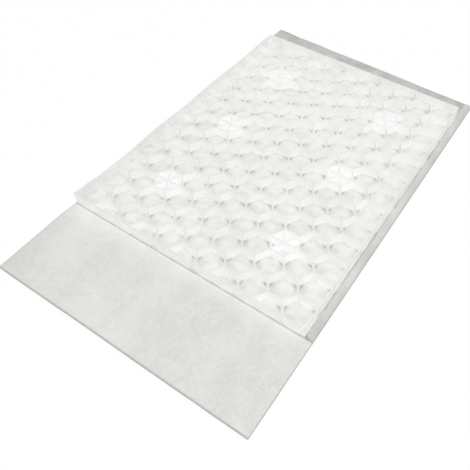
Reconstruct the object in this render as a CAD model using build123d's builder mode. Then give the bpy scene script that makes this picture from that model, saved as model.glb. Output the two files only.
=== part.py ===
from build123d import *
import math
import os

# Gravel stabilizer mat: a moulded honeycomb panel bonded to a geotextile membrane.
# Millimetres. The origin is on the floor under the middle of the mat, X runs along the
# long edge away from the wide membrane flap, Y runs across and Z is up.

# Honeycomb lattice: rows run along X, and every second row is shifted by half a cell
cell_pitch = 61.2
cells_per_row = 13
row_count = 11

# Moulded panel. The long edge walls stand this far outside the middle of the edge rows
panel_height = 25.0
wall_thickness = 2.4
edge_wall_thickness = 2.6
edge_row_depth = 33.2

# Foot flange at the bottom of every wall, which the membrane is bonded to
flange_width = 2.0
flange_thickness = 1.6

# Gate cells, each filled by a hub with six ribs
rib_thickness = 2.4
hub_radius = 5.0
gate_rows = (2, 8)
gate_columns = (2, 6, 10)

# Geotextile membrane, with what shows of it beyond the panel's foot
membrane_thickness = 1.0
front_flap = 220.0
back_strip = 60.0
right_strip = 21.0

# Lattice sizes that follow from the pitch
row_pitch = cell_pitch * math.sin(math.radians(60))
cell_radius = cell_pitch / math.sqrt(3)
lattice_length = cells_per_row * cell_pitch

# Outside sizes of the panel, of its foot and of the whole mat
panel_length = lattice_length + edge_wall_thickness
panel_width = (row_count - 1) * row_pitch + 2 * edge_row_depth
foot_length = panel_length + 2 * flange_width
foot_width = panel_width + 2 * flange_width
mat_length = front_flap + foot_length + back_strip
mat_width = foot_width + right_strip

# The panel lies off the middle of the mat, away from the flap and the strip
panel_x = (front_flap - back_strip) / 2
panel_y = right_strip / 2
foot_plane = Plane((panel_x, panel_y, membrane_thickness))
wall_plane = Plane((panel_x, panel_y, membrane_thickness + flange_thickness))


def cell_centre(row, column):
    """Centre of a cell, from the middle of the panel."""
    shift = 0.5 if row % 2 == 0 else 0.0
    x = (column + shift) * cell_pitch - lattice_length / 2
    y = ((row_count - 1) / 2 - row) * row_pitch
    return x, y


def row_centres(row):
    """Centres of a row's cells. A shifted row has a cell more, and both its ends are cut in half."""
    count = cells_per_row if row % 2 == 0 else cells_per_row + 1
    return [cell_centre(row, column) for column in range(count)]


open_cells = [centre for row in range(row_count) for centre in row_centres(row)]
gate_cells = [cell_centre(row, column) for row in gate_rows for column in gate_columns]

# The edge rows' cells run on to the long edge walls with straight sides, without a point
left_mouths = [(x, y + edge_row_depth / 2) for x, y in row_centres(0)]
right_mouths = [(x, y - edge_row_depth / 2) for x, y in row_centres(row_count - 1)]


def openings(added_width):
    """Sketch of every opening, with walls, ribs and hubs wider on each side by added_width."""
    cell_width = cell_pitch - wall_thickness - 2 * added_width
    inner_length = panel_length - 2 * edge_wall_thickness - 2 * added_width
    inner_width = panel_width - 2 * edge_wall_thickness - 2 * added_width
    with BuildSketch(mode=Mode.PRIVATE) as outline:
        with Locations(*open_cells):
            RegularPolygon(cell_width / 2, 6, major_radius=False, rotation=30)
        with Locations(*left_mouths, *right_mouths):
            Rectangle(cell_width, edge_row_depth)
        with Locations(*gate_cells):
            with PolarLocations(0, 3, start_angle=30):
                Rectangle(2 * cell_radius, rib_thickness + 2 * added_width, mode=Mode.SUBTRACT)
            Circle(hub_radius + added_width, mode=Mode.SUBTRACT)
        Rectangle(inner_length, inner_width, mode=Mode.INTERSECT)
    return outline.sketch


os.makedirs("parts", exist_ok=True)

# Moulded panel: a thin foot with the smaller openings, and the tall walls on it
with BuildPart() as honeycomb_panel:
    with BuildSketch(foot_plane):
        Rectangle(foot_length, foot_width)
        add(openings(flange_width), mode=Mode.SUBTRACT)
    extrude(amount=flange_thickness)
    with BuildSketch(wall_plane):
        Rectangle(panel_length, panel_width)
        add(openings(0), mode=Mode.SUBTRACT)
    extrude(amount=panel_height - flange_thickness)
honeycomb_panel.part.label = "honeycomb_panel"
export_step(honeycomb_panel.part, "parts/honeycomb_panel.step")

# Geotextile membrane: one cut sheet under the panel, flush with its far long edge
with BuildPart() as geotextile_membrane:
    with BuildSketch():
        Rectangle(mat_length, mat_width)
    extrude(amount=membrane_thickness)
geotextile_membrane.part.label = "geotextile_membrane"
export_step(geotextile_membrane.part, "parts/geotextile_membrane.step")
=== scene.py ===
import math

import bmesh
import bpy
from bpy.props import FloatProperty, FloatVectorProperty, PointerProperty
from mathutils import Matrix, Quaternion, Vector, noise


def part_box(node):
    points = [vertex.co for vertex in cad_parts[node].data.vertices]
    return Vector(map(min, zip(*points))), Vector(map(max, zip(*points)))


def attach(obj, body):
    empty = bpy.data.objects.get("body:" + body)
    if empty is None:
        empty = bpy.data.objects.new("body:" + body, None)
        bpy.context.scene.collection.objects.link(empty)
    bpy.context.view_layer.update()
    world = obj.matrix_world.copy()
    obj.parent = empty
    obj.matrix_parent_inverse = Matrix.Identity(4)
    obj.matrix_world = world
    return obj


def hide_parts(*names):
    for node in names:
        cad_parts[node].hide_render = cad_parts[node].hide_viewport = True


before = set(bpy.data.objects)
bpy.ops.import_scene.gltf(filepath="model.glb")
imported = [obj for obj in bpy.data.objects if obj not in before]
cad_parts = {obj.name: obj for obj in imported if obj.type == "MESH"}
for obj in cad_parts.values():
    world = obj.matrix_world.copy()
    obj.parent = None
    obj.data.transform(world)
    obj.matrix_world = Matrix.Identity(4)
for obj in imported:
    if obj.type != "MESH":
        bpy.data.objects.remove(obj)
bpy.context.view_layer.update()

bl_info = {
    "name": "Gravel stabilizer mat",
    "version": (1, 0, 0),
    "blender": (4, 5, 0),
    "location": "3D View > Sidebar > Gravel mat",
    "description": "Finishes a moulded honeycomb panel and the nonwoven membrane bonded under it",
    "category": "Object",
}

MM = 0.001
BODY = "root"
PANEL_NODE = "honeycomb_panel"
MEMBRANE_NODE = "geotextile_membrane"
PANEL_LOW, PANEL_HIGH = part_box(PANEL_NODE)
MEMBRANE_LOW, MEMBRANE_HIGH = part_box(MEMBRANE_NODE)

# The panel's lattice: rows of cells run along X, and every second row is shifted by half a cell
CELLS_PER_ROW = 13
ROW_COUNT = 11
FOOT_FLANGE = 2.0 * MM
EDGE_WALL = 2.6 * MM
WALL_HALF = 1.2 * MM
PANEL_MIDDLE = (PANEL_LOW + PANEL_HIGH) / 2
HALF_LENGTH = (PANEL_HIGH.x - PANEL_LOW.x) / 2 - FOOT_FLANGE - EDGE_WALL / 2
HALF_WIDTH = (PANEL_HIGH.y - PANEL_LOW.y) / 2 - FOOT_FLANGE - EDGE_WALL / 2
PITCH = HALF_LENGTH * 2 / CELLS_PER_ROW
SLANT = math.sin(math.radians(60))
ROW_PITCH = PITCH * SLANT
MIDDLE_ROW = (ROW_COUNT - 1) / 2
CELL_REACH = PITCH / 2 - WALL_HALF - FOOT_FLANGE

# Gate cells, and how far the middle of a pocket between their ribs lies from its walls
GATE_ROWS = (2, 8)
GATE_COLUMNS = (2, 6, 10)
GATE_REACH = PITCH / math.sqrt(3) + WALL_HALF
POCKET_REACH = 9.0 * MM

# The far long wall, which is the only one that has warped
LONG_WALL_Y = PANEL_MIDDLE.y + HALF_WIDTH
BEND_START = 40 * MM
BEND_END = 4 * MM
CUT_OFFSET = 7 * MM
FLARE_SHARE = 0.1
CELLS_PER_WAVE = 4

# The top of the rims, where the plastic is rendered without its glow so that it shows whiter: a
# painted highlight
RIM_HIGHLIGHT_BAND = (PANEL_HIGH.z - 1.2 * MM, PANEL_HIGH.z - 0.2 * MM)

# Clean-up of the panel's triangles, and the least bend of an edge that counts as sharp
MERGE_DISTANCE = 0.02 * MM
FLAT_ANGLE = 0.01
SHARP_ANGLE = 0.5
RIM_SLACK = 0.1 * MM

# The membrane's grid, as steps in a cell's pitch and in a row's
STEPS_PER_PITCH = 16
STEPS_PER_ROW = 14

# How far out from the panel's foot the painted contact shadows, the flap's rise, the flap's painted
# glow band, its darker band and the back strip's rise reach, and how wide and dark the painted
# shadow along the cut hem is
CONTACT_WIDTH = 3 * MM
STRIP_CONTACT = 6 * MM
FLAP_RISE_WIDTH = 45 * MM
GLOW_BAND = 50 * MM
DULL_BAND = 60 * MM
BACK_RISE_WIDTH = 30 * MM
HEM_WIDTH = 3 * MM
CUT_EDGE_SHADOW = 0.7

# How far the membrane lies over z = 0, and the studio's floor under it
MEMBRANE_GAP = 0.05 * MM
FLOOR_DROP = 0.2 * MM

# Turn in degrees and density of each layer of the membrane's fibres, and their length in widths
FIBRE_LAYERS = ((12, 330.0), (58, 380.0), (104, 350.0), (151, 400.0))
FIBRE_LENGTH = 6


class Sock:
    """An output socket of a finish. Arithmetic on it adds Math nodes."""

    def __init__(self, finish, socket):
        self.finish = finish
        self.socket = socket

    def math(self, operation, *values):
        return self.finish.node("ShaderNodeMath", {"operation": operation}, dict(enumerate(values)))

    def __add__(self, other):
        return self.math("ADD", self, other)

    def __sub__(self, other):
        return self.math("SUBTRACT", self, other)

    def __rsub__(self, other):
        return self.math("SUBTRACT", other, self)

    def __mul__(self, other):
        return self.math("MULTIPLY", self, other)

    __radd__ = __add__
    __rmul__ = __mul__

    def step(self, low, high):
        """0 below low, 1 above high and smooth between them."""
        settings = {"interpolation_type": "SMOOTHSTEP"}
        return self.finish.node("ShaderNodeMapRange", settings, {0: self, 1: low, 2: high})


class Finish:
    """The nodes of a material or a world."""

    def __init__(self, owner):
        owner.use_nodes = True
        self.owner = owner
        self.tree = owner.node_tree
        self.tree.nodes.clear()

    def node(self, kind, settings=None, inputs=None, output=0):
        """Add a node: its settings come first, then the values or links of its sockets."""
        made = self.tree.nodes.new(kind)
        for key, value in (settings or {}).items():
            setattr(made, key, value)
        for key, value in (inputs or {}).items():
            if isinstance(value, Sock):
                self.tree.links.new(value.socket, made.inputs[key])
            else:
                made.inputs[key].default_value = value
        return Sock(self, made.outputs[output]) if made.outputs else None

    def place(self):
        return self.node("ShaderNodeTexCoord", output="Object")

    def ray(self, kind):
        """1 for rays of a kind, such as Is Camera Ray, and 0 for others."""
        return self.node("ShaderNodeLightPath", output=kind)

    def mapping(self, vector, scale, turn=0.0):
        inputs = {"Vector": vector, "Scale": scale, "Rotation": (0.0, 0.0, turn)}
        return self.node("ShaderNodeMapping", {}, inputs)

    def noise(self, vector, scale, detail=2.0, roughness=0.5):
        inputs = {"Vector": vector, "Scale": scale, "Detail": detail, "Roughness": roughness}
        return self.node("ShaderNodeTexNoise", {}, inputs)

    def attribute(self, name):
        return self.node("ShaderNodeAttribute", {"attribute_name": name}, output="Fac")

    def blend(self, factor, first, second):
        """Mix of two colours."""
        inputs = {0: factor, 6: first, 7: second}
        return self.node("ShaderNodeMix", {"data_type": "RGBA"}, inputs, output=2)

    def mixed(self, factor, first, second):
        """Mix of two shaders."""
        return self.node("ShaderNodeMixShader", {}, {0: factor, 1: first, 2: second})

    def bump(self, height, distance, strength):
        inputs = {"Height": height, "Distance": distance, "Strength": strength}
        return self.node("ShaderNodeBump", {}, inputs)

    def finish(self, shader, output="ShaderNodeOutputMaterial"):
        self.node(output, {}, {"Surface": shader})
        return self.owner


def grey(value, warmth=0.0):
    """A pale grey whose blue is lower by the warmth, and its green by an eighth of that."""
    return (value, value * (1 - warmth / 8), value * (1 - warmth), 1.0)


def limit(value):
    """The value, kept from 0 to 1."""
    return min(max(value, 0.0), 1.0)


def ease(value, low, high):
    """0 below low, 1 above high and smooth between them."""
    share = limit((value - low) / (high - low))
    return share * share * (3 - 2 * share)


def soft_noise(x, y, seed):
    return noise.noise(Vector((x, y, seed)))


def add_object(name, data):
    """An object of the mesh, lamp or camera, linked to the scene."""
    made = bpy.data.objects.new(name, data)
    bpy.context.scene.collection.objects.link(made)
    return made


class PanelSettings(bpy.types.PropertyGroup):
    """Sizes and colours of the moulded panel"""

    rim_round: FloatProperty(
        name="Rim rounding", description="Most that the rims' edges are rounded by",
        default=0.0006, unit="LENGTH", subtype="DISTANCE")
    flare: FloatProperty(
        name="Corner flare", description="Outward lean of the front corner's rim",
        default=0.007, unit="LENGTH", subtype="DISTANCE")
    warp: FloatProperty(
        name="Warp", description="Inward lean of the long wall's rim at the back",
        default=0.005, unit="LENGTH", subtype="DISTANCE")
    wave: FloatProperty(
        name="Wave", description="Waviness of the long wall's rim between the gate cells",
        default=0.0016, unit="LENGTH", subtype="DISTANCE")
    plastic: FloatProperty(
        name="Plastic", description="Lightness of the milky plastic",
        default=0.955, min=0.0, max=1.0)
    glow: FloatProperty(
        name="Glow", description="Share of the light that goes in through the skin",
        default=0.6, min=0.0, max=1.0, subtype="FACTOR")
    gate_glow: FloatProperty(
        name="Gate glow", description="Share of the light that goes in through a gate cell's skin",
        default=0.46, min=0.0, max=1.0, subtype="FACTOR")
    pass_light: FloatProperty(
        name="Passed light", description="Share of a lamp's light that crosses each face of a wall",
        default=0.88, min=0.0, max=1.0, subtype="FACTOR")
    roughness: FloatProperty(
        name="Roughness", description="Roughness of the moulded skin",
        default=0.38, min=0.0, max=1.0)


class MembraneSettings(bpy.types.PropertyGroup):
    """Sizes and colours of the membrane under the panel"""

    thickness: FloatProperty(
        name="Thickness", description="Thickness of the nonwoven",
        default=0.0009, unit="LENGTH", subtype="DISTANCE")
    puff: FloatProperty(
        name="Puff", description="Steep rise of the membrane beside the walls",
        default=0.0028, unit="LENGTH", subtype="DISTANCE")
    dome: FloatProperty(
        name="Dome", description="Further rise to the middle of a cell",
        default=0.0075, unit="LENGTH", subtype="DISTANCE")
    crease: FloatProperty(
        name="Crease", description="Height of the creases inside a cell",
        default=0.002, unit="LENGTH", subtype="DISTANCE")
    flap_wave: FloatProperty(
        name="Flap waves", description="Height of the soft waves of the flap",
        default=0.0022, unit="LENGTH", subtype="DISTANCE")
    skew: FloatProperty(
        name="Skew", description="Slant of the back strip's cut edge",
        default=0.028, min=-0.1, max=0.1)
    strip_hump: FloatProperty(
        name="Strip hump", description="Height of the narrow strip's hump",
        default=0.004, unit="LENGTH", subtype="DISTANCE")
    # How dark the panel's shadow is painted on the narrow strips
    strip_shadow: FloatProperty(
        name="Strip shade", description="How far the narrow strips are darkened towards a seam",
        default=0.5, min=0.0, max=1.0, subtype="FACTOR")
    light: FloatProperty(
        name="Light fibres", description="Lightness of the palest fibres", default=0.92)
    dark: FloatProperty(
        name="Dark gaps", description="Lightness between the fibres", default=0.74)
    # Lightness of the fibres where light is painted on: the cells' bounced light under the panel,
    # and the flap's glow band and fold crests
    painted_light_pale: FloatProperty(
        name="Bonded light", description="Lightness of the palest fibres under the panel",
        default=0.98)
    painted_light_gaps: FloatProperty(
        name="Bonded dark", description="Lightness between the fibres under the panel",
        default=0.95)
    # Lightness of the painted shade: contact shadows, the panel's shadow on the strips, and shade
    # in the cells' corners and along the cut edge
    seam: FloatProperty(
        name="Seam", description="Lightness of the pressed membrane along a wall", default=0.42)


class StudioSettings(bpy.types.PropertyGroup):
    """The floor, the lamps and the camera"""

    camera_place: FloatVectorProperty(
        name="Camera place", description="Where the camera stands",
        default=(-0.8529, -0.5098, 1.0195), subtype="TRANSLATION", unit="LENGTH")
    heading: FloatProperty(
        name="Heading", description="Turn from +Y towards +X",
        default=math.radians(57.54), subtype="ANGLE")
    tilt: FloatProperty(
        name="Tilt", description="How far the camera looks down",
        default=math.radians(47.62), subtype="ANGLE")
    roll: FloatProperty(
        name="Roll", description="Turn about the line of sight",
        default=math.radians(1.85), subtype="ANGLE")
    lens: FloatProperty(
        name="Lens", description="Focal length on a 36 mm sensor", default=45.6)
    shift: FloatVectorProperty(
        name="Shift", description="Camera shift across and up", size=2, default=(-0.045, -0.085))
    key_place: FloatVectorProperty(
        name="Key place", description="Where the key lamp stands",
        default=(-1.3, -2.0, 1.9), subtype="TRANSLATION", unit="LENGTH")
    key_side: FloatProperty(
        name="Key side", description="Side of the key lamp",
        default=1.2, unit="LENGTH", subtype="DISTANCE")
    key_power: FloatProperty(
        name="Key", description="Power of the key lamp", default=22.0, subtype="POWER")
    back_place: FloatVectorProperty(
        name="Back place", description="Where the back lamp stands",
        default=(4.6, 1.4, 4.0), subtype="TRANSLATION", unit="LENGTH")
    back_side: FloatProperty(
        name="Back side", description="Side of the back lamp",
        default=3.0, unit="LENGTH", subtype="DISTANCE")
    back_power: FloatProperty(
        name="Back", description="Power of the back lamp", default=100.0, subtype="POWER")
    fill_place: FloatVectorProperty(
        name="Fill place", description="Where the fill lamp stands",
        default=(-1.2, 2.2, 1.8), subtype="TRANSLATION", unit="LENGTH")
    fill_side: FloatProperty(
        name="Fill side", description="Side of the fill lamp",
        default=1.6, unit="LENGTH", subtype="DISTANCE")
    fill_power: FloatProperty(
        name="Fill", description="Power of the fill lamp", default=9.0, subtype="POWER")
    sky: FloatProperty(
        name="Sky", description="Strength of the even light", default=0.66)


def plastic_finish(settings):
    """Milky polypropylene that light shines through, with a faintly uneven moulded skin. The gate
    cells are whiter, and the tops of the rims show whiter as a painted highlight, because they lose
    the glow through the skin."""
    finish = Finish(bpy.data.materials.new("milky_plastic"))
    place = finish.place()
    thick = finish.attribute("thick")
    cloud = finish.noise(place, 22.0, detail=2.0).step(0.35, 0.7)
    grain = finish.noise(place, 900.0, detail=1.0)
    wobble = finish.noise(place, 60.0, detail=1.0)

    clear = grey(settings.plastic, 0.008)
    cloudy = grey(settings.plastic * 0.97, 0.008)
    white = grey(0.99, 0.002)
    skin = finish.node("ShaderNodeBsdfPrincipled", {}, {
        "Base Color": finish.blend(thick, finish.blend(cloud, clear, cloudy), white),
        "Roughness": settings.roughness + 0.1 * cloud,
        "IOR": 1.49,
        "Normal": finish.bump(grain * 0.12 + wobble, 0.0006, 0.35),
    })
    clear_glow, cloudy_glow, white_glow = [
        finish.node("ShaderNodeBsdfTranslucent", {}, {"Color": colour})
        for colour in (clear, cloudy, white)
    ]
    inside = finish.mixed(thick, finish.mixed(cloud, clear_glow, cloudy_glow), white_glow)

    height = finish.node("ShaderNodeSeparateXYZ", {}, {0: place}, output="Z")
    share = settings.glow + (settings.gate_glow - settings.glow) * thick
    # The rims' tops lose the glow through the skin, so they show whiter: a painted highlight
    milky = finish.mixed((1 - height.step(*RIM_HIGHLIGHT_BAND)) * share, skin, inside)
    passed = finish.node("ShaderNodeBsdfTransparent", {}, {"Color": grey(settings.pass_light)})
    return finish.finish(finish.mixed(finish.ray("Is Shadow Ray"), milky, passed))


def membrane_finish(settings):
    """Pale nonwoven: fine tufts and crossed fibres over soft clouds, with painted light where the
    cells, the flap's glow band and its folds are lit, and painted shade in contact shadows,
    corners, the panel's shadow and along the cut edge.
    """
    finish = Finish(bpy.data.materials.new("nonwoven_fibre"))
    place = finish.place()
    layers = []
    for turn_deg, density in FIBRE_LAYERS:
        turned = finish.mapping(place, (1.0, 1.0, 1.0), math.radians(turn_deg))
        stretched = finish.mapping(turned, (density, density / FIBRE_LENGTH, density))
        layers.append(finish.noise(stretched, 1.0, detail=2.0))
    fibre = (sum(layers[1:], layers[0]) * (1 / len(layers))).step(0.42, 0.6)
    tuft = finish.noise(place, 150.0, detail=5.0, roughness=0.7).step(0.3, 0.72)
    cloud = finish.noise(place, 34.0, detail=4.0, roughness=0.6).step(0.3, 0.72)
    wide = finish.noise(place, 7.0, detail=2.0).step(0.3, 0.7)
    mottle = 0.1 * fibre + 0.42 * tuft + 0.3 * cloud + 0.18 * wide

    loose = finish.blend(mottle, grey(settings.dark, 0.04), grey(settings.light, 0.035))
    # Paler fibres where light is painted on
    painted_bright = finish.blend(
        mottle, grey(settings.painted_light_gaps, 0.024), grey(settings.painted_light_pale, 0.018))
    body = finish.blend(finish.attribute("painted_light"), loose, painted_bright)
    # Painted shade, broken up by the clouds
    painted_dark = finish.attribute("seam") * (0.75 + 0.5 * cloud)
    return finish.finish(finish.node("ShaderNodeBsdfPrincipled", {}, {
        "Base Color": finish.blend(painted_dark, body, grey(settings.seam, 0.08)),
        "Roughness": 0.92 - 0.12 * fibre,
        "Specular IOR Level": 0.25,
        "Sheen Weight": 0.25,
        "Sheen Roughness": 0.6,
        "Normal": finish.bump(fibre + 0.5 * tuft + cloud, 0.0005, 0.6),
    }))


def floor_finish():
    """White to the camera, with a soft shadow left in it, and a plain white floor to the light."""
    finish = Finish(bpy.data.materials.new("studio_floor"))
    diffuse = finish.node("ShaderNodeBsdfDiffuse", {}, {"Color": grey(0.85)})
    white = finish.node("ShaderNodeEmission", {}, {"Color": grey(1.0), "Strength": 1.04})
    return finish.finish(finish.mixed(finish.ray("Is Camera Ray") * 0.86, diffuse, white))


def studio_world(strength):
    """Even light from all round, and plain white behind the floor."""
    sky = Finish(bpy.data.worlds.new("studio_world"))
    even = sky.node("ShaderNodeBackground", {}, {"Color": grey(0.8), "Strength": strength})
    white = sky.node("ShaderNodeBackground", {}, {"Color": grey(1.0), "Strength": 1.0})
    seen = sky.ray("Is Camera Ray")
    return sky.finish(sky.mixed(seen, even, white), "ShaderNodeOutputWorld")


def round_rims(bm, width):
    """Round the edges along the top of every wall, by less than width if they would overlap."""
    rim = [
        edge for edge in bm.edges
        if min(vert.co.z for vert in edge.verts) > PANEL_HIGH.z - RIM_SLACK and edge.is_manifold
        and edge.calc_face_angle() > SHARP_ANGLE
    ]
    bmesh.ops.bevel(bm, geom=rim, offset=width, offset_type="OFFSET", affect="EDGES",
                    segments=2, profile=0.5, material=-1, clamp_overlap=True)


def cut_long_wall(bm):
    """Cut the far long wall across at every half cell, so that it can bend."""
    for half_cell in range(1, 2 * CELLS_PER_ROW):
        near = [
            face for face in bm.faces
            if max(vert.co.y for vert in face.verts) > LONG_WALL_Y - EDGE_WALL
        ]
        edges = dict.fromkeys(edge for face in near for edge in face.edges)
        verts = dict.fromkeys(vert for face in near for vert in face.verts)
        cut_x = PANEL_MIDDLE.x - HALF_LENGTH + half_cell * PITCH / 2 + CUT_OFFSET
        bmesh.ops.bisect_plane(
            bm, geom=[*near, *edges, *verts], plane_co=(cut_x, 0.0, 0.0), plane_no=(1, 0, 0))


def sort_faces(bm):
    """Order the faces by their corners, because cutting leaves them in another order each run."""
    bm.verts.index_update()
    corners = {face: sorted(vert.index for vert in face.verts) for face in bm.faces}
    ranks = {face: rank for rank, face in enumerate(sorted(corners, key=corners.get))}
    bm.faces.sort(key=ranks.get)


def long_wall_lean(settings, x):
    """How far the far long wall's rim stands outward at x."""
    share = (x - PANEL_MIDDLE.x + HALF_LENGTH) / (2 * HALF_LENGTH)
    corner = settings.flare * (1 - ease(share, 0.0, FLARE_SHARE))
    turns = (share * CELLS_PER_ROW - 0.5) / CELLS_PER_WAVE
    return corner + settings.wave * math.cos(turns * 2 * math.pi) - settings.warp * share


def bend_long_wall(bm, settings):
    """Lean the far long wall in and out, all of it at the rim and nothing at the foot."""
    for vert in bm.verts:
        height = (vert.co.z - PANEL_LOW.z) / (PANEL_HIGH.z - PANEL_LOW.z)
        share = height * ease(vert.co.y, LONG_WALL_Y - BEND_START, LONG_WALL_Y - BEND_END)
        vert.co.y += share * long_wall_lean(settings, vert.co.x)


def gate_centre(row, column):
    """Centre of a gate cell in X and Y. Its row is a shifted one."""
    return Vector((
        PANEL_MIDDLE.x + (column + 0.5 - CELLS_PER_ROW / 2) * PITCH,
        PANEL_MIDDLE.y + (MIDDLE_ROW - row) * ROW_PITCH,
    ))


def mark_gates(bm):
    """Mark the gate cells, whose thick plastic is whiter."""
    gates = [gate_centre(row, column) for row in GATE_ROWS for column in GATE_COLUMNS]
    thick = bm.verts.layers.float.new("thick")
    for vert in bm.verts:
        away = min((vert.co.xy - gate).length for gate in gates)
        vert[thick] = 1.0 if away < GATE_REACH else 0.0


def build_panel(settings):
    """The panel's own solid with rounded rims, and the far long wall warped as it has cooled."""
    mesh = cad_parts[PANEL_NODE].data.copy()
    mesh.name = "panel"
    bm = bmesh.new()
    bm.from_mesh(mesh)
    bmesh.ops.remove_doubles(bm, verts=bm.verts, dist=MERGE_DISTANCE)
    bmesh.ops.dissolve_limit(bm, angle_limit=FLAT_ANGLE, verts=bm.verts, edges=bm.edges)
    round_rims(bm, settings.rim_round)
    cut_long_wall(bm)
    sort_faces(bm)
    bend_long_wall(bm, settings)
    mark_gates(bm)
    for face in bm.faces:
        face.smooth = False
    bm.to_mesh(mesh)
    bm.free()
    mesh.attributes.remove(mesh.attributes["custom_normal"])
    return add_object("panel", mesh)


def cell_share(x, y):
    """How far out a point lies in its cell, 0 in the middle and 1 at the foot of its walls, how
    deep it lies in a corner between two walls, and whether the cell is a gate."""
    from_end = HALF_LENGTH - abs(x - PANEL_MIDDLE.x) - WALL_HALF - FOOT_FLANGE
    from_side = HALF_WIDTH - abs(y - PANEL_MIDDLE.y) - WALL_HALF - FOOT_FLANGE
    from_far = MIDDLE_ROW - (y - PANEL_MIDDLE.y) / ROW_PITCH
    first_row = max(math.floor(from_far) - 1, 0)
    choices = []
    for row in range(first_row, min(math.floor(from_far) + 3, ROW_COUNT)):
        shift = 0.5 if row % 2 == 0 else 0.0
        column = (x - PANEL_MIDDLE.x) / PITCH + CELLS_PER_ROW / 2 - shift
        across = (column - round(column)) * PITCH / CELL_REACH
        along = (from_far - row) * ROW_PITCH / CELL_REACH
        slants = [abs(across / 2 + along * SLANT), abs(across / 2 - along * SLANT)]
        if row in (0, ROW_COUNT - 1) and along * (row - MIDDLE_ROW) > 0:
            slants = [1 - from_side / CELL_REACH]
        if row % 2 and round(column) in (0, CELLS_PER_ROW):
            slants.append(1 - from_end / CELL_REACH)
        gate = row in GATE_ROWS and round(column) in GATE_COLUMNS
        if gate:
            turn = math.atan2(along, across) % math.radians(60)
            away = math.hypot(along, across) * CELL_REACH
            rib = away * math.sin(abs(turn - math.radians(30)))
            slants.append(1 - (rib - WALL_HALF - FOOT_FLANGE) / POCKET_REACH)
        places = sorted([abs(across), *slants])
        off_web = 1 - ease(across * (across / 2 - along * SLANT), 0.3, 0.6)
        share = sum(place ** 6 for place in places) ** (1 / 6)
        choices.append((share, places[-2], off_web, gate))
    share, second, off_web, gate = min(choices)
    if min(from_end, from_side) <= 0:
        share = 1.0
    return min(share, 1.0), off_web * ease(second, 0.5, 0.97), gate


def flap_shape(settings, x, y, front):
    """Shape of the wide flap: soft folds that run out from the panel, a painted contact shadow at
    its foot, painted light in a band by the panel and on the folds' crests, and darker further out
    by its +Y edge.
    """
    folds = soft_noise(x * 5.0 + y * 2.0, y * 15.0 - x * 4.0, 3.1)
    waves = soft_noise(x * 13.0, y * 9.0, 8.4) + 0.5 * soft_noise(x * 31.0, y * 27.0, 1.7)
    rise = settings.flap_wave * (1.15 + 0.9 * folds + 0.6 * waves)
    # Painted contact shadow along the panel's foot
    contact = 1 - ease(front, 0.0, CONTACT_WIDTH)
    near_side = 1 - ease(MEMBRANE_HIGH.y - y, 0.0, DULL_BAND)
    dull = 0.12 * near_side * ease(front, 0.0, DULL_BAND)
    # Painted light: a glow by the panel's front wall, and lighter fold crests
    white = 0.45 * (1 - ease(front, 0.0, GLOW_BAND)) + 0.12 + 0.5 * folds + 0.2 * waves
    away = ease(front, 0.0, FLAP_RISE_WIDTH)
    return away * max(rise, 0.0), max(0.9 * contact, dull), limit(white)


def right_strip_shape(settings, x, y, right):
    """Shape of the narrow strip: an uneven hump, a painted contact shadow along an uneven line by
    the wall, and the panel's shadow painted over it.
    """
    across = right / (PANEL_LOW.y - MEMBRANE_LOW.y)
    uneven = 1 + 0.9 * soft_noise(x * 22.0, 0.0, 5.5) + 0.5 * soft_noise(x * 60.0, 0.0, 2.6)
    hump = settings.strip_hump * math.sin(math.pi * min(across, 1.0)) * uneven
    # Painted contact shadow along the wall's foot
    painted_dark = 1 - ease(right, 0.0, STRIP_CONTACT * max(uneven, 0.3))
    # The panel's shadow, painted on the strip
    shade = settings.strip_shadow * (0.55 + 0.6 * soft_noise(x * 16.0, y * 30.0, 7.3))
    return max(hump, 0.0), limit(max(painted_dark, shade)), 0.0


def back_strip_shape(settings, x, y, back):
    """Shape of the back strip: soft waves, and the panel's shadow painted over it."""
    waves = 0.8 + soft_noise(x * 9.0, y * 12.0, 2.2)
    # The panel's shadow, painted on the strip
    shade = settings.strip_shadow * (1.1 + 0.5 * soft_noise(x * 12.0, y * 20.0, 6.1))
    return settings.flap_wave * ease(back, 0.0, BACK_RISE_WIDTH) * waves, limit(shade), 0.0


def cell_shape(settings, x, y):
    """Shape inside the panel: a creased dome in every cell, with painted light on its middle and
    its creases' crests and painted shade in its corners.
    """
    share, corner, gate = cell_share(x, y)
    room = 1 - share
    fold = soft_noise(x * 70.0 + y * 25.0, y * 34.0 - x * 11.0, 4.4)
    fold += 0.6 * soft_noise(x * 48.0, y * 120.0, 9.3)
    rise = settings.puff * (1 - share ** 9) + settings.dome * (1 - share ** 2)
    rise += settings.crease * fold * ease(room, 0.0, 0.35)
    # A gate cell's membrane gets painted light all over, and painted shade in its pockets' corners
    if gate:
        return rise, 0.7 * ease(corner, 0.6, 1.0) * (1 - ease(room, 0.0, 0.25)), 1.0
    # Painted light whiter to the dome's middle and on the creases' crests, and painted shade darker
    # in the corners by the walls
    white = 0.9 - 0.75 * ease(share, 0.1, 1.0) + 0.75 * fold
    painted_dark = 0.44 * ease(corner, 0.0, 0.7) + 0.3 * ease(corner, 0.5, 1.0)
    return rise, painted_dark * (1 - ease(room, 0.0, 0.5)), limit(white)


def membrane_shape(settings, x, y):
    """Rise of the membrane at a point, and from 0 to 1 how much painted shade and how much painted
    light it gets there."""
    front = PANEL_LOW.x - x
    right = PANEL_LOW.y - y
    back = x - PANEL_HIGH.x
    if front > 0:
        return flap_shape(settings, x, y, front)
    if right > 0:
        return right_strip_shape(settings, x, y, right)
    if back > 0:
        return back_strip_shape(settings, x, y, back)
    return cell_shape(settings, x, y)


def spread(low, high, origin, step):
    """Places along a side: its two ends, and between them every step counted from origin."""
    first = math.floor((low - origin) / step) + 1
    last = math.ceil((high - origin) / step) - 1
    places = [origin + index * step for index in range(first, last + 1)]
    places = [place for place in places if low + 0.4 * step < place < high - 0.4 * step]
    return [low, *places, high]


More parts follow.
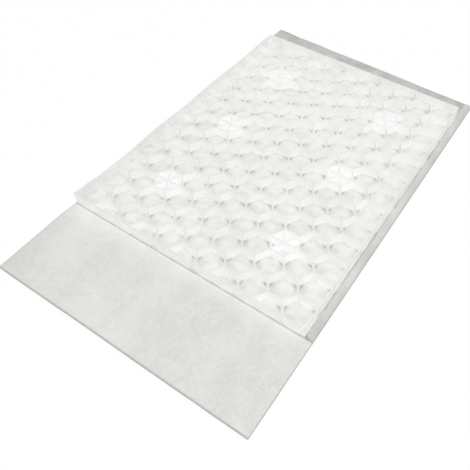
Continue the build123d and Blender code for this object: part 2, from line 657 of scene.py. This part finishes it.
def build_membrane(settings):
    """The membrane as one laid sheet, puffed up in every cell, with waves on its flap."""
    across = spread(MEMBRANE_LOW.x, MEMBRANE_HIGH.x, PANEL_MIDDLE.x, PITCH / STEPS_PER_PITCH)
    along = spread(MEMBRANE_LOW.y, MEMBRANE_HIGH.y, PANEL_MIDDLE.y, ROW_PITCH / STEPS_PER_ROW)
    back_strip = MEMBRANE_HIGH.x - PANEL_HIGH.x
    mesh = bpy.data.meshes.new("membrane")
    bm = bmesh.new()
    bmesh.ops.create_grid(
        bm, x_segments=len(across) - 1, y_segments=len(along) - 1, size=0.5)
    seam = bm.verts.layers.float.new("seam")
    painted_light = bm.verts.layers.float.new("painted_light")
    for vert in bm.verts:
        x = across[round((vert.co.x + 0.5) * (len(across) - 1))]
        y = along[round((vert.co.y + 0.5) * (len(along) - 1))]
        if x > PANEL_HIGH.x:
            x += (x - PANEL_HIGH.x) * settings.skew * (y - PANEL_MIDDLE.y) / back_strip
        # How much painted shade and painted light the membrane gets here
        rise, painted_dark, white = membrane_shape(settings, x, y)
        hem = min(x - MEMBRANE_LOW.x, MEMBRANE_HIGH.x - x, y - MEMBRANE_LOW.y)
        vert.co = (x, y, settings.thickness + MEMBRANE_GAP + rise)
        # Painted shadow along the sheet's cut edge, or the painted shade there where that is darker
        vert[seam] = max(painted_dark, CUT_EDGE_SHADOW * (1 - ease(hem, 0.0, HEM_WIDTH)))
        vert[painted_light] = white
    bmesh.ops.recalc_face_normals(bm, faces=bm.faces)
    for face in bm.faces:
        face.smooth = True
    bm.to_mesh(mesh)
    bm.free()
    piece = add_object("membrane", mesh)
    solid = piece.modifiers.new("thickness", "SOLIDIFY")
    solid.thickness = settings.thickness
    solid.offset = -1.0
    return piece


class MAT_OT_panel(bpy.types.Operator):
    """Round the honeycomb panel's rims and give it its milky plastic"""

    bl_idname = "mat.panel"
    bl_label = "Honeycomb panel"

    def execute(self, context):
        settings = context.scene.mat_panel
        piece = build_panel(settings)
        piece.data.materials.clear()
        piece.data.materials.append(plastic_finish(settings))
        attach(piece, BODY)
        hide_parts(PANEL_NODE)
        return {"FINISHED"}


class MAT_OT_membrane(bpy.types.Operator):
    """Lay the nonwoven membrane under the panel"""

    bl_idname = "mat.membrane"
    bl_label = "Membrane"

    def execute(self, context):
        settings = context.scene.mat_membrane
        piece = build_membrane(settings)
        piece.data.materials.append(membrane_finish(settings))
        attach(piece, BODY)
        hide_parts(MEMBRANE_NODE)
        return {"FINISHED"}


class MAT_OT_studio(bpy.types.Operator):
    """Set up the floor, the lamps, the even light and the camera"""

    bl_idname = "mat.studio"
    bl_label = "Studio"

    def execute(self, context):
        settings = context.scene.mat_studio
        context.scene.view_settings.view_transform = "Standard"
        context.scene.world = studio_world(settings.sky)
        self.floor()
        self.lamp("key_lamp", settings.key_place, settings.key_side, settings.key_power)
        self.lamp("back_lamp", settings.back_place, settings.back_side, settings.back_power)
        self.lamp("fill_lamp", settings.fill_place, settings.fill_side, settings.fill_power)
        self.camera(settings)
        return {"FINISHED"}

    def floor(self):
        mesh = bpy.data.meshes.new("floor")
        bm = bmesh.new()
        bmesh.ops.create_grid(bm, x_segments=1, y_segments=1, size=6.0)
        bm.to_mesh(mesh)
        bm.free()
        mesh.materials.append(floor_finish())
        floor = add_object("floor", mesh)
        floor.location.z = -FLOOR_DROP

    def lamp(self, name, place, side, power):
        """A square lamp that faces the middle of the panel."""
        data = bpy.data.lights.new(name, "AREA")
        data.size = side
        data.energy = power
        lamp = add_object(name, data)
        lamp.location = place
        lamp.rotation_mode = "QUATERNION"
        lamp.rotation_quaternion = (PANEL_MIDDLE - Vector(place)).to_track_quat("-Z", "Y")

    def camera(self, settings):
        """The camera at the photograph's angle."""
        data = bpy.data.cameras.new("camera")
        data.sensor_width = 36.0
        data.lens = settings.lens
        data.shift_x, data.shift_y = settings.shift
        level = math.cos(settings.tilt)
        sight = Vector((
            math.sin(settings.heading) * level,
            math.cos(settings.heading) * level,
            -math.sin(settings.tilt),
        ))
        roll = Quaternion((0, 0, 1), settings.roll)
        camera = add_object("camera", data)
        camera.location = settings.camera_place
        camera.rotation_mode = "QUATERNION"
        camera.rotation_quaternion = sight.to_track_quat("-Z", "Y") @ roll
        bpy.context.scene.camera = camera


class MAT_PT_sidebar(bpy.types.Panel):
    """Lists the pieces of the mat"""

    bl_idname = "MAT_PT_sidebar"
    bl_label = "Gravel mat"
    bl_space_type = "VIEW_3D"
    bl_region_type = "UI"
    bl_category = "Gravel mat"

    def draw(self, context):
        for operator in OPERATORS:
            self.layout.operator(operator.bl_idname)


SETTINGS = {
    "mat_panel": PanelSettings,
    "mat_membrane": MembraneSettings,
    "mat_studio": StudioSettings,
}
OPERATORS = (MAT_OT_panel, MAT_OT_membrane, MAT_OT_studio)


def register():
    for kind in (*SETTINGS.values(), *OPERATORS, MAT_PT_sidebar):
        bpy.utils.register_class(kind)
    for name, kind in SETTINGS.items():
        setattr(bpy.types.Scene, name, PointerProperty(type=kind))


def unregister():
    for name in SETTINGS:
        delattr(bpy.types.Scene, name)
    for kind in (MAT_PT_sidebar, *reversed(OPERATORS), *reversed(SETTINGS.values())):
        bpy.utils.unregister_class(kind)


def main():
    register()
    bpy.ops.mat.panel()
    bpy.ops.mat.membrane()
    bpy.ops.mat.studio()


if __name__ == "__main__":
    main()
